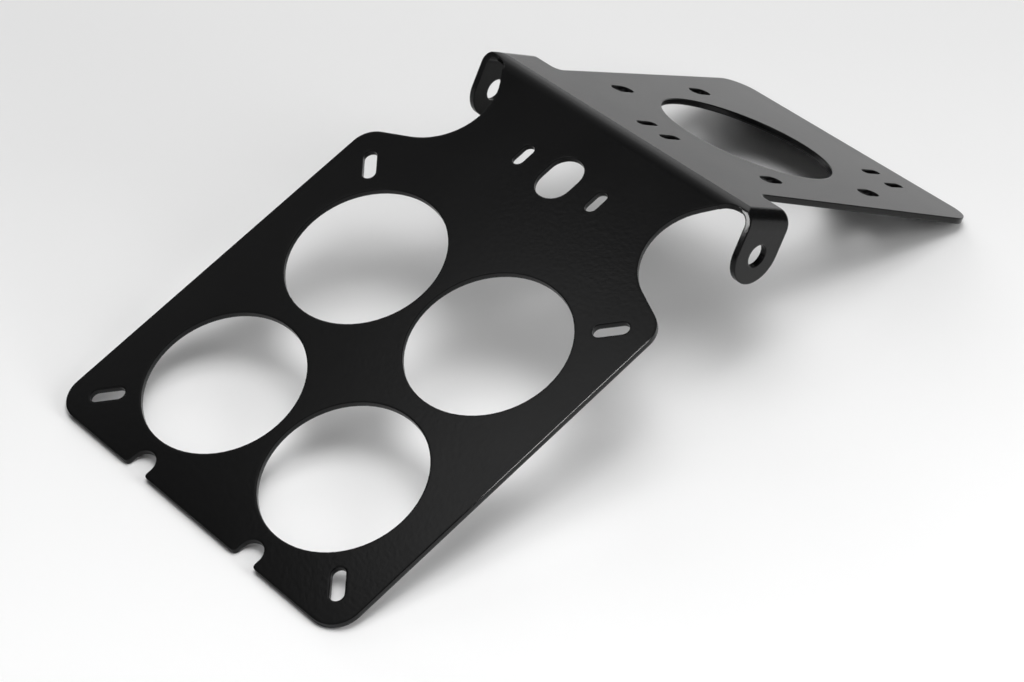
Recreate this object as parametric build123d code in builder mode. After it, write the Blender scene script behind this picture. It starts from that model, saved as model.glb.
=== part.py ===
from build123d import *
from math import asin, atan2, cos, degrees, radians, sin, tan
import os

# Folded number-plate bracket for the tail of a motorbike, cut and bent from one sheet.
# It stands like a tent, as it lies on a table: the plate panel slopes down towards -Y,
# the tail flange slopes down towards +Y, and X runs across. The floor is z = 0.

# Sheet and folds
sheet = 2.4                 # sheet thickness with its powder coat
fold_angle = 47.3           # how far the tail flange is turned out of the panel's plane
fold_radius = 11.0          # outer radius of the main fold

# Plate panel, measured from the centre of its four large holes
panel_half_width = 80.0
group_to_bottom = 80.0      # from the hole group's centre down to the lower edge
group_to_corner = 132.9     # up to where the outer faces of panel and flange would meet
bottom_corner_radius = 11.0
large_hole_radius = 31.15
large_hole_half_pitch_x = 33.6
large_hole_half_pitch_y = 35.15

# Shoulders and the round scallops that leave the neck between them
shoulder_angle = 23.5       # fall of the shoulder towards the side
shoulder_radius = 10.0
scallop_radius = 25.0
scallop_x = 72.65
scallop_y = 107.1
scallop_run_y = 123.0       # from here the scallop runs straight towards the fold
scallop_top_radius = 8.0    # where that run turns along the fold to the ear

# Slots of the panel
plate_slot_pitch = 65.6     # sideways and up or down, on the square's diagonals
plate_slot_length = 13.6
plate_slot_width = 5.5
neck_opening_y = 103.3
neck_slot_x = 19.55
neck_slot_length = 10.1
neck_slot_width = 5.0
lamp_opening_length = 20.3
lamp_opening_width = 15.0

# Notches in the lower edge
notch_x = 30.8
notch_width = 10.4
notch_depth = 8.6
notch_mouth_radius = 1.5

# Tail flange, measured along its face from the corner
flange_length = 153.1
shelf_depth = 23.2          # the full-width shelf that carries the ears
flange_root_half_width = 53.7
flange_taper = 5.65         # each side opens out by this angle towards the rear
flange_corner_radius = 11.0
step_radius = 3.6           # inside corner between the shelf and the flange's side
flange_hole_radius = 35.8
flange_hole_y = 81.1
bolt_slot_length = 11.0
bolt_slot_width = 6.0
front_bolt_slot_x = 40.0
front_bolt_slot_y = 47.9
rear_bolt_slot_x = 46.05
rear_bolt_slot_y = 104.2
tie_slot_length = 10.6
tie_slot_width = 3.8
tie_slot_pitch = 12.2       # between the two slots of a pair
front_tie_y = 25.2
rear_tie_x = 30.85          # middle of the rear pair, on one side only
rear_tie_inset = 19.1       # from the rear edge to the rear pair

# Ears turned down at both ends of the shelf
ear_face_x = 71.5           # outer face of each ear
ear_radius = 6.2            # outer radius of the ear's fold
ear_width = 22.8
ear_bore_drop = 16.5        # bore centre below the flange's outer face
ear_bore_radius = 4.5

# Lengths that follow from the values above
panel_length = group_to_corner + group_to_bottom
setback = fold_radius * tan(radians(fold_angle / 2))
ear_root_x = ear_face_x - ear_radius
ear_end_radius = ear_width / 2
ear_centre_y = shelf_depth - ear_end_radius
fold_line_y = group_to_corner - setback
scallop_end = degrees(asin((scallop_run_y - scallop_y) / scallop_radius))
run_slope = tan(radians(scallop_end))
run_start_x = scallop_x - scallop_radius * cos(radians(scallop_end))
run_end_x = run_start_x + (fold_line_y - scallop_run_y) * run_slope

# Slopes at rest: the panel's lower edge and the flange's rear edge both touch the floor
rise = flange_length * sin(radians(fold_angle)) + sheet * cos(radians(fold_angle)) - sheet
reach = panel_length + flange_length * cos(radians(fold_angle)) - sheet * sin(radians(fold_angle))
panel_slope = degrees(atan2(rise, reach))
flange_slope = fold_angle - panel_slope
corner_y = (panel_length * cos(radians(panel_slope)) - flange_length * cos(radians(flange_slope))) / 2
corner_z = panel_length * sin(radians(panel_slope)) + sheet * cos(radians(panel_slope))

# Outer faces. Y runs up the panel to the corner, and down the flange from it
panel_up = Vector(0, cos(radians(panel_slope)), sin(radians(panel_slope)))
panel_normal = Vector(0, -sin(radians(panel_slope)), cos(radians(panel_slope)))
flange_down = Vector(0, cos(radians(flange_slope)), -sin(radians(flange_slope)))
flange_normal = Vector(0, sin(radians(flange_slope)), cos(radians(flange_slope)))
corner = Vector(0, corner_y, corner_z)
panel_face = Plane(origin=corner - panel_up * group_to_corner, x_dir=(1, 0, 0), z_dir=panel_normal)
flange_face = Plane(origin=corner, x_dir=(1, 0, 0), z_dir=flange_normal)
# Cross-section through the fold: x runs down the flange, y along its outward normal
fold_section = Plane(origin=corner, x_dir=flange_down, z_dir=(1, 0, 0))
# A plane halfway between the start and the middle of the fold, where its ends are trimmed
mid_sheet_radius = fold_radius - sheet / 2
trim_rise = mid_sheet_radius * sin(radians(fold_angle / 4))
run_top_x = run_end_x + 2 * trim_rise * run_slope
trim_turn = radians(fold_angle / 4 - panel_slope)
trim_normal = Vector(0, sin(trim_turn), cos(trim_turn))
fold_axis = corner - panel_up * setback - panel_normal * fold_radius
trim_plane = Plane(origin=fold_axis + trim_normal * mid_sheet_radius, x_dir=(1, 0, 0), z_dir=trim_normal)


def slots(points, length, width, rotation=90):
    """Round-ended slots with their length along the sheet, or turned from it."""
    with Locations(*points):
        SlotOverall(length, width, rotation=rotation, mode=Mode.SUBTRACT)


with BuildPart() as folded_bracket:
    # Plate panel up to the start of the fold
    with BuildSketch(panel_face) as panel_outline:
        with BuildLine():
            shoulder_start = 270 - shoulder_angle
            scallop = CenterArc(
                (scallop_x, scallop_y), scallop_radius, shoulder_start, 180 - scallop_end - shoulder_start
            )
            shoulder_drop = (panel_half_width - (scallop @ 0).X) * tan(radians(shoulder_angle))
            shoulder = Line(scallop @ 0, (panel_half_width, (scallop @ 0).Y - shoulder_drop))
            Polyline(
                shoulder @ 1,
                (panel_half_width, -group_to_bottom),
                (0, -group_to_bottom),
            )
            Polyline(scallop @ 1, (run_end_x, fold_line_y), (0, fold_line_y))
            mirror(about=Plane.YZ)
        make_face()
        for side in (-1, 1):
            with Locations((side * notch_x, -group_to_bottom + notch_depth - notch_width / 2)):
                Circle(notch_width / 2, mode=Mode.SUBTRACT)
                Rectangle(
                    notch_width, notch_depth, align=(Align.CENTER, Align.MAX), mode=Mode.SUBTRACT
                )
        lower_edge = panel_outline.vertices().group_by(Axis.Y)[0]
        fillet(lower_edge.sort_by(Axis.X)[1:-1], notch_mouth_radius)
        for end in (0, -1):
            fillet(panel_outline.vertices().group_by(Axis.X)[end].sort_by(Axis.Y)[0], bottom_corner_radius)
            fillet(panel_outline.vertices().group_by(Axis.X)[end].sort_by(Axis.Y)[-1], shoulder_radius)
        with GridLocations(2 * large_hole_half_pitch_x, 2 * large_hole_half_pitch_y, 2, 2):
            Circle(large_hole_radius, mode=Mode.SUBTRACT)
        for side in (-1, 1):
            slots([(side * plate_slot_pitch, side * plate_slot_pitch)], plate_slot_length, plate_slot_width, 45)
            slots([(side * plate_slot_pitch, -side * plate_slot_pitch)], plate_slot_length, plate_slot_width, -45)
        slots([(-neck_slot_x, neck_opening_y), (neck_slot_x, neck_opening_y)], neck_slot_length, neck_slot_width)
        slots([(0, neck_opening_y)], lamp_opening_length, lamp_opening_width)
    extrude(amount=-sheet)

    # Main fold. Its ends are trimmed as far as the middle of the fold, so that the
    # scallops run on up to the ears
    with BuildSketch(fold_section):
        with BuildLine():
            outer = CenterArc((setback, -fold_radius), fold_radius, 90, fold_angle)
            inner = CenterArc((setback, -fold_radius), fold_radius - sheet, 90, fold_angle)
            Line(outer @ 0, inner @ 0)
            Line(outer @ 1, inner @ 1)
        make_face()
    extrude(amount=ear_root_x, both=True)
    with BuildSketch(trim_plane):
        for side in (-1, 1):
            with BuildLine():
                Polyline(
                    (side * run_end_x, -2 * trim_rise),
                    (side * run_end_x, -trim_rise),
                    (side * run_top_x, trim_rise),
                    (side * ear_root_x, trim_rise),
                    (side * ear_root_x, -2 * trim_rise),
                    close=True,
                )
                fillet(vertices().sort_by_distance((side * run_top_x, trim_rise))[0], scallop_top_radius)
            make_face()
    extrude(amount=fold_radius / 2, both=True, mode=Mode.SUBTRACT)

    # Tail flange, from the shelf to its rear edge
    with BuildSketch(flange_face) as flange_outline:
        with BuildLine():
            taper = tan(radians(flange_taper))
            rear_half_width = flange_root_half_width + (flange_length - shelf_depth) * taper
            Polyline(
                (0, setback),
                (ear_root_x, setback),
                (ear_root_x, shelf_depth),
                (flange_root_half_width, shelf_depth),
                (rear_half_width, flange_length),
                (0, flange_length),
            )
            mirror(about=Plane.YZ)
        make_face()
        for side in (-1, 1):
            inner_step = flange_outline.vertices().sort_by_distance((side * flange_root_half_width, shelf_depth))[0]
            fillet(inner_step, step_radius)
            rear_corner = flange_outline.vertices().sort_by_distance((side * rear_half_width, flange_length))[0]
            fillet(rear_corner, flange_corner_radius)
        with Locations((0, flange_hole_y)):
            Circle(flange_hole_radius, mode=Mode.SUBTRACT)
        for side in (-1, 1):
            bolt_slots = [(side * front_bolt_slot_x, front_bolt_slot_y), (side * rear_bolt_slot_x, rear_bolt_slot_y)]
            slots(bolt_slots, bolt_slot_length, bolt_slot_width)
            tie_slots = [
                (side * tie_slot_pitch / 2, front_tie_y),
                (rear_tie_x + side * tie_slot_pitch / 2, flange_length - rear_tie_inset),
            ]
            slots(tie_slots, tie_slot_length, tie_slot_width)
    extrude(amount=-sheet)

    # Ears: a right-angle fold down from the shelf's end, then a round-ended tab with its bore
    for side in (-1, 1):
        ear_front = Plane(
            origin=flange_face.from_local_coords((0, shelf_depth - ear_width, 0)),
            x_dir=(1, 0, 0),
            z_dir=flange_down,
        )
        with BuildSketch(ear_front):
            with BuildLine():
                centre = (side * ear_root_x, ear_radius)
                outer = CenterArc(centre, ear_radius, 270, 90 * side)
                inner = CenterArc(centre, ear_radius - sheet, 270, 90 * side)
                Line(outer @ 0, inner @ 0)
                Line(outer @ 1, inner @ 1)
            make_face()
        extrude(amount=ear_width)
        ear_face = Plane(
            origin=flange_face.from_local_coords((side * ear_face_x, ear_centre_y, -ear_bore_drop)),
            x_dir=flange_down,
            z_dir=(1, 0, 0),
        )
        with BuildSketch(ear_face):
            with BuildLine():
                tab_end = CenterArc((0, 0), ear_end_radius, 180, 180)
                tab_top = ear_bore_drop - ear_radius
                Polyline(tab_end @ 1, (ear_end_radius, tab_top), (-ear_end_radius, tab_top), tab_end @ 0)
            make_face()
            Circle(ear_bore_radius, mode=Mode.SUBTRACT)
        extrude(amount=-side * sheet)

    # Everything outside the main fold's round is cleared, so the ears' roots follow the fold
    with BuildSketch(fold_section):
        with BuildLine():
            round_edge = CenterArc((setback, -fold_radius), fold_radius, 90, fold_angle)
            Polyline(round_edge @ 0, (0, 0), round_edge @ 1)
        make_face()
    extrude(amount=ear_face_x, both=True, mode=Mode.SUBTRACT)

folded_bracket.part.label = "folded_bracket"

os.makedirs("parts", exist_ok=True)
export_step(folded_bracket.part, "parts/folded_bracket.step")
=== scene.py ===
import math

import bpy
from mathutils import Matrix, Vector

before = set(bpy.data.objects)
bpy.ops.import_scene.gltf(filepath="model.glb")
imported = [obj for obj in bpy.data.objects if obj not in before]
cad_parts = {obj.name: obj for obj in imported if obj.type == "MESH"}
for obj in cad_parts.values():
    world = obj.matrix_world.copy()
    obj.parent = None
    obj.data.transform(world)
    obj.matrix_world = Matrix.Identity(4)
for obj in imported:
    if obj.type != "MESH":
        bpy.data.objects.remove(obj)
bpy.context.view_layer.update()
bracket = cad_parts["folded_bracket"]

# Powder coat. Lengths are in metres, colours in linear light, grain scales per metre
BLACK = (0.0022, 0.0022, 0.0023)
MOTTLE = ((0.30, 0.82), (0.72, 1.22))   # place in the grain, share of the black
COAT_IOR = 1.28
COAT_ROUGHNESS = (0.17, 0.21)           # it varies slowly over the sheet
ROUGHNESS_SPAN = (0.25, 0.75)           # place in the slow grain
EDGE_ROUND = 0.0009                     # the coat's soft edge
EDGE_SAMPLES = 8
PEEL_DEPTH = 0.00010
PEEL_STRENGTH = 0.22
PIMPLE_DEPTH = 0.00003
PIMPLE_STRENGTH = 0.30

# Paper, with painted shade: its tone over the ground, from before the bracket (-) to behind it
# (+), in metres, greys towards the back in place of the light growing weaker there
FLOOR_SIZE = 12.0
FLOOR_AXIS = (-0.7395, 0.673, 0.0)
FLOOR_PAINTED_SHADE = (
    (-0.25, 0.97),
    (-0.18, 0.965),
    (-0.10, 0.912),
    (0.0, 0.836),
    (0.10, 0.776),
    (0.20, 0.745),
    (0.40, 0.737),
)
FAR_TONE = (0.77, 0.77, 0.775, 1)       # the ground far away and the background, as they are seen
FAR_FADE = (0.6, 1.3)                   # metres from the bracket over which the ground fades to it

# The dim studio round the table, seen only in the coat's sheen: lightest low on the left and
# behind, dark at the right. The axis points to the left and up; a stop is a share of that way
WALL_AXIS = (-0.80, -0.25, 0.55)
WALL_TONES = ((-1.0, 0.0), (-0.2, 0.02), (0.1, 0.0), (0.4, 1.23), (0.7, 0.42), (1.0, 0.0))

# Lamps: name, bearing from +Y to +X, height above the floor, width, tall, power in watts
AIM = Vector((0.0, 0.0, 0.03))
REACH = 1.6                             # metres from the bracket to each of them
FLOOR_LAMPS = (
    ("overhead", 0, 88, 0.9, 0.9, 9.05),
    ("overhead_wide", 0, 88, 1.6, 1.6, 8.64),
    ("over_front_right", 110, 76, 0.6, 0.6, 4.49),
    ("right_rear", 62, 30, 0.8, 0.8, 9.93),
    ("right_low", 75, 14, 0.6, 0.4, 5.22),
    ("left_rear_low", 298, 12, 1.0, 0.5, 10.7),
    ("left_rear", 295, 38, 0.8, 0.8, 3.03),
    ("front", 180, 40, 0.9, 0.9, 2.22),
)
SHEEN_LAMPS = (
    ("sheen_panel_right", 262, 62, 0.35, 0.35, 0.573),
    ("sheen_panel_front", 250, 62, 0.35, 0.35, 0.176),
    ("sheen_panel", 262, 50, 0.35, 0.35, 0.093),
    ("sheen_panel_low", 262, 38, 0.35, 0.35, 0.274),
    ("sheen_neck_low", 286, 38, 0.35, 0.35, 0.608),
)
# name, point lit, bearing, height, distance, width, length, beam in degrees, power in watts
GLINT_LAMPS = (
    ("glint_right_edge", (0.080, -0.055, 0.0423), 84, 40, 0.06, 0.026, 0.10, 24.0, 0.019),
    ("glint_scallop", (0.0665, 0.0325, 0.0722), 211, 6, 0.04, 0.008, 0.008, 40.0, 0.00037),
)
DOWN_THE_PANEL = Vector((0.0, -0.942, -0.334))

# Camera, fitted to the photograph: eye in metres, then the picture's right and down directions
LENS = 101.84
SENSOR = 36.0
NEAR, FAR = 0.05, 50.0
EYE = (0.624016, -0.585438, 0.677580)
RIGHT = (0.666897, 0.745078, 0.010364)
DOWN = (0.472349, -0.411946, -0.779222)


def node(tree, kind, x, y, **values):
    made = tree.nodes.new(kind)
    made.location = (x, y)
    for name, value in values.items():
        setattr(made, name, value)
    return made


def grain(tree, x, y, scale, detail, roughness=0.5):
    made = node(tree, "ShaderNodeTexNoise", x, y)
    made.inputs["Scale"].default_value = scale
    made.inputs["Detail"].default_value = detail
    made.inputs["Roughness"].default_value = roughness
    return made


def map_range(tree, x, y, span, **values):
    made = node(tree, "ShaderNodeMapRange", x, y, **values)
    made.inputs["From Min"].default_value = span[0]
    made.inputs["From Max"].default_value = span[1]
    return made


def bump(tree, x, y, strength, depth, height, normal):
    made = node(tree, "ShaderNodeBump", x, y)
    made.inputs["Strength"].default_value = strength
    made.inputs["Distance"].default_value = depth
    tree.links.new(height, made.inputs["Height"])
    tree.links.new(normal, made.inputs["Normal"])
    return made


def tones_along(tree, x, y, place, axis, stops):
    """Grey tones by how far a place lies along an axis."""
    along = node(tree, "ShaderNodeVectorMath", x, y, operation="DOT_PRODUCT")
    along.inputs[1].default_value = axis
    low, high = stops[0][0], stops[-1][0]
    share = map_range(tree, x + 200, y, (low, high))
    tones = node(tree, "ShaderNodeValToRGB", x + 400, y)
    ramp = tones.color_ramp
    while len(ramp.elements) < len(stops):
        ramp.elements.new(0.5)
    for stop, (where, tone) in zip(ramp.elements, stops):
        stop.position = (where - low) / (high - low)
        stop.color = (tone, tone, tone, 1)
    tree.links.new(place, along.inputs[0])
    tree.links.new(along.outputs["Value"], share.inputs["Value"])
    tree.links.new(share.outputs["Result"], tones.inputs["Fac"])
    return tones.outputs["Color"]


def mix_shaders(tree, x, y, share, first, second):
    made = node(tree, "ShaderNodeMixShader", x, y)
    tree.links.new(share, made.inputs["Fac"])
    tree.links.new(first, made.inputs[1])
    tree.links.new(second, made.inputs[2])
    return made.outputs["Shader"]


def powder_coat(name):
    """Satin black powder coat: fine pimples, a slow orange peel and soft bright edges."""
    mat = bpy.data.materials.new(name)
    mat.use_nodes = True
    tree = mat.node_tree
    tree.nodes.clear()
    link = tree.links.new
    out = node(tree, "ShaderNodeOutputMaterial", 900, 0)
    shader = node(tree, "ShaderNodeBsdfPrincipled", 600, 0)
    link(shader.outputs["BSDF"], out.inputs["Surface"])
    shader.inputs["Metallic"].default_value = 0.0
    shader.inputs["IOR"].default_value = COAT_IOR
    shader.inputs["Specular IOR Level"].default_value = 0.5

    place = node(tree, "ShaderNodeTexCoord", -1100, 0)
    pimples = grain(tree, -800, -300, scale=2600.0, detail=2.0, roughness=0.55)
    peel = grain(tree, -800, -600, scale=620.0, detail=1.0)
    broad = grain(tree, -800, 0, scale=28.0, detail=3.0)
    speck = grain(tree, -800, 300, scale=1500.0, detail=2.0)
    for texture in (pimples, peel, broad, speck):
        link(place.outputs["Object"], texture.inputs["Vector"])

    # colour: a very slight mottle of the black
    tone = node(tree, "ShaderNodeValToRGB", -500, 300)
    for stop, (where, share) in zip(tone.color_ramp.elements, MOTTLE):
        stop.position = where
        stop.color = (BLACK[0] * share, BLACK[1] * share, BLACK[2] * share, 1)
    link(speck.outputs["Fac"], tone.inputs["Fac"])
    link(tone.outputs["Color"], shader.inputs["Base Color"])

    # gloss varies slowly over the sheet
    gloss = map_range(tree, -500, 0, ROUGHNESS_SPAN)
    gloss.inputs["To Min"].default_value = COAT_ROUGHNESS[0]
    gloss.inputs["To Max"].default_value = COAT_ROUGHNESS[1]
    link(broad.outputs["Fac"], gloss.inputs["Value"])
    link(gloss.outputs["Result"], shader.inputs["Roughness"])

    # relief: the soft edge first, then orange peel, then pimples
    edge = node(tree, "ShaderNodeBevel", -500, -800, samples=EDGE_SAMPLES)
    edge.inputs["Radius"].default_value = EDGE_ROUND
    slow = bump(
        tree, -200, -600, PEEL_STRENGTH, PEEL_DEPTH,
        height=peel.outputs["Fac"], normal=edge.outputs["Normal"],
    )
    fine = bump(
        tree, 100, -400, PIMPLE_STRENGTH, PIMPLE_DEPTH,
        height=pimples.outputs["Fac"], normal=slow.outputs["Normal"],
    )
    link(fine.outputs["Normal"], shader.inputs["Normal"])
    return mat


def floor_material():
    """Pale paper with painted shade: it grows a little greyer towards the back, in place of the
    weaker light there.
    """
    mat = bpy.data.materials.new("floor_paper")
    mat.use_nodes = True
    tree = mat.node_tree
    link = tree.links.new
    shader = tree.nodes["Principled BSDF"]
    shader.inputs["Roughness"].default_value = 1.0
    shader.inputs["Specular IOR Level"].default_value = 0.0
    place = node(tree, "ShaderNodeTexCoord", -1000, 0).outputs["Object"]
    # painted shade: the paper's colour greys towards the back, where less light falls
    tone = tones_along(tree, -800, 0, place, FLOOR_AXIS, FLOOR_PAINTED_SHADE)
    link(tone, shader.inputs["Base Color"])

    # far away the paper keeps its pale tone for the eye and the sheen, and gives no light
    reach = node(tree, "ShaderNodeVectorMath", -800, -400, operation="LENGTH")
    fade = map_range(tree, -600, -400, FAR_FADE, interpolation_type="SMOOTHSTEP")
    path = node(tree, "ShaderNodeLightPath", -800, -700)
    watched = node(tree, "ShaderNodeMath", -600, -700, operation="MAXIMUM")
    seen = node(tree, "ShaderNodeMath", -400, -400, operation="MULTIPLY")
    pale = node(tree, "ShaderNodeEmission", -200, -400)
    pale.inputs["Color"].default_value = FAR_TONE
    pale.inputs["Strength"].default_value = 1.0
    link(place, reach.inputs[0])
    link(reach.outputs["Value"], fade.inputs["Value"])
    link(fade.outputs["Result"], seen.inputs[0])
    link(path.outputs["Is Camera Ray"], watched.inputs[0])
    link(path.outputs["Is Glossy Ray"], watched.inputs[1])
    link(watched.outputs["Value"], seen.inputs[1])
    mix = mix_shaders(
        tree, 500, 0, seen.outputs["Value"], shader.outputs["BSDF"], pale.outputs["Emission"],
    )
    link(mix, tree.nodes["Material Output"].inputs["Surface"])
    return mat


def studio_world(name):
    """Pale to the eye, the studio's walls to the sheen, and dark to everything else."""
    made = bpy.data.worlds.new(name)
    made.use_nodes = True
    tree = made.node_tree
    link = tree.links.new
    dark = tree.nodes["Background"]
    dark.inputs["Color"].default_value = (1.0, 1.0, 1.0, 1)
    dark.inputs["Strength"].default_value = 0.0
    place = node(tree, "ShaderNodeTexCoord", -1000, 200).outputs["Generated"]
    glow = node(tree, "ShaderNodeBackground", -100, 200)
    glow.inputs["Strength"].default_value = 1.0
    link(tones_along(tree, -800, 200, place, WALL_AXIS, WALL_TONES), glow.inputs["Color"])
    pale = node(tree, "ShaderNodeBackground", 150, -100)
    pale.inputs["Color"].default_value = FAR_TONE
    pale.inputs["Strength"].default_value = 1.0
    path = node(tree, "ShaderNodeLightPath", -100, 500)
    walls = mix_shaders(
        tree, 150, 200, path.outputs["Is Glossy Ray"],
        dark.outputs["Background"], glow.outputs["Background"],
    )
    whole = mix_shaders(
        tree, 400, 100, path.outputs["Is Camera Ray"], walls, pale.outputs["Background"],
    )
    link(whole, tree.nodes["World Output"].inputs["Surface"])
    return made


def direction(bearing, height):
    across = math.cos(math.radians(height))
    return Vector((
        math.sin(math.radians(bearing)) * across,
        math.cos(math.radians(bearing)) * across,
        math.sin(math.radians(height)),
    ))


def area_lamp(name, width, length, power):
    data = bpy.data.lights.new(name, "AREA")
    data.shape = "RECTANGLE"
    data.size = width
    data.size_y = length
    data.energy = power
    made = bpy.data.objects.new(name, data)
    bpy.context.scene.collection.objects.link(made)
    return made


def softbox(name, bearing, height, width, tall, power):
    """An area lamp aimed at the bracket."""
    made = area_lamp(name, width, tall, power)
    made.location = direction(bearing, height) * REACH
    made.rotation_euler = (AIM - made.location).to_track_quat("-Z", "Y").to_euler()
    return made


def glint(name, target, bearing, height, distance, width, length, beam, power):
    """A small lamp with a narrow beam close to the bracket, for one thin highlight.

    Its length lies along the panel's side."""
    away = direction(bearing, height)
    long_way = (DOWN_THE_PANEL - away * DOWN_THE_PANEL.dot(away)).normalized()
    made = area_lamp(name, width, length, power)
    made.data.spread = math.radians(beam)
    turn = Matrix((long_way.cross(away), long_way, away)).transposed()
    made.matrix_world = Matrix.Translation(Vector(target) + away * distance) @ turn.to_4x4()
    made.visible_camera = False
    made.visible_diffuse = False
    return made


def photo_camera(name):
    right = Vector(RIGHT).normalized()
    down = Vector(DOWN)
    down = (down - right * down.dot(right)).normalized()
    ahead = right.cross(down)
    data = bpy.data.cameras.new(name)
    data.lens = LENS
    data.sensor_width = SENSOR
    data.sensor_fit = "HORIZONTAL"
    data.clip_start = NEAR
    data.clip_end = FAR
    made = bpy.data.objects.new(name, data)
    bpy.context.scene.collection.objects.link(made)
    turn = Matrix((right, -down, -ahead)).transposed()
    made.matrix_world = Matrix.Translation(Vector(EYE)) @ turn.to_4x4()
    return made


bracket.data.materials.clear()
bracket.data.materials.append(powder_coat("black_powder_coat"))

bpy.ops.mesh.primitive_plane_add(size=FLOOR_SIZE, location=(0.0, 0.0, 0.0))
floor = bpy.context.object
floor.name = "floor"
floor.data.materials.append(floor_material())

# The first lamps light the paper and the coat's black; the others are seen in the coat's sheen
bpy.context.scene.world = studio_world("studio")
for lamp in FLOOR_LAMPS:
    softbox(*lamp).visible_glossy = False
for lamp in SHEEN_LAMPS:
    softbox(*lamp).visible_diffuse = False
for lamp in GLINT_LAMPS:
    glint(*lamp)

bpy.context.scene.camera = photo_camera("photo_camera")
bpy.context.scene.view_settings.view_transform = "Standard"
